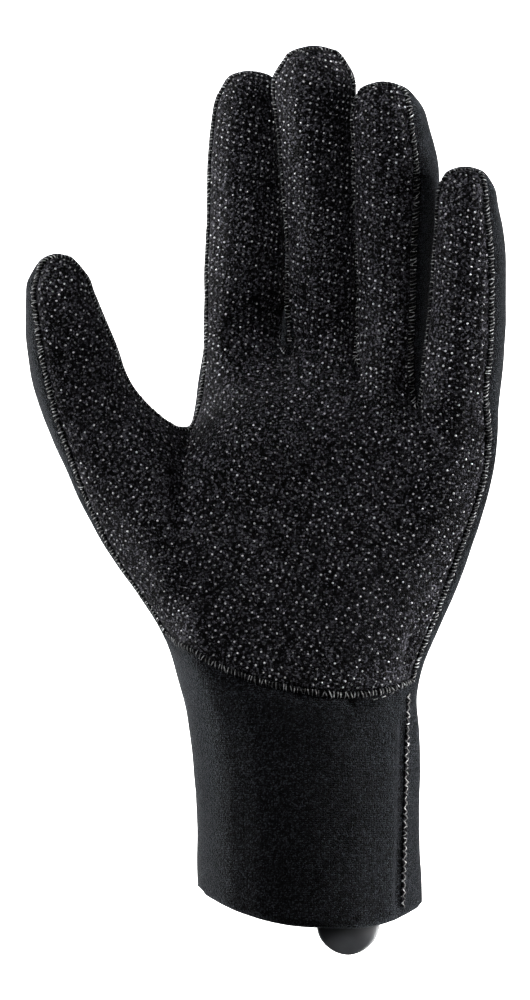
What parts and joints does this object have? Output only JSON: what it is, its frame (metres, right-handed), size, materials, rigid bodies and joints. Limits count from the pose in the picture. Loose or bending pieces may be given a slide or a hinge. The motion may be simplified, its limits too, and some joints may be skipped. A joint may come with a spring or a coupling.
{
  "type": "cycling glove",
  "caption": "Full-finger neoprene cycling glove for the left hand, filled out as worn, with a grippy palm panel, a long straight cuff and a pull tab at its rim.",
  "frame": {"origin": "middle of the cuff's mouth, on the level of the lowest edge of the cuff's wall", "axes": "+Z from the cuff to the fingertips, -Y out of the palm, +Y out of the back of the hand, -X to the thumb's side"},
  "size_m": [0.1437, 0.0559, 0.272],
  "materials": {
    "grip_fabric": "matt knit, near black, with small silicone dots",
    "neoprene": "matt, near black with a faint blue-grey sheen",
    "tab_rubber": "matt, smooth"
  },
  "bodies": {
    "root": {"palm_panel": "grip_fabric", "back_panel": "neoprene", "pull_tab": "tab_rubber"}
  },
  "joints": []
}
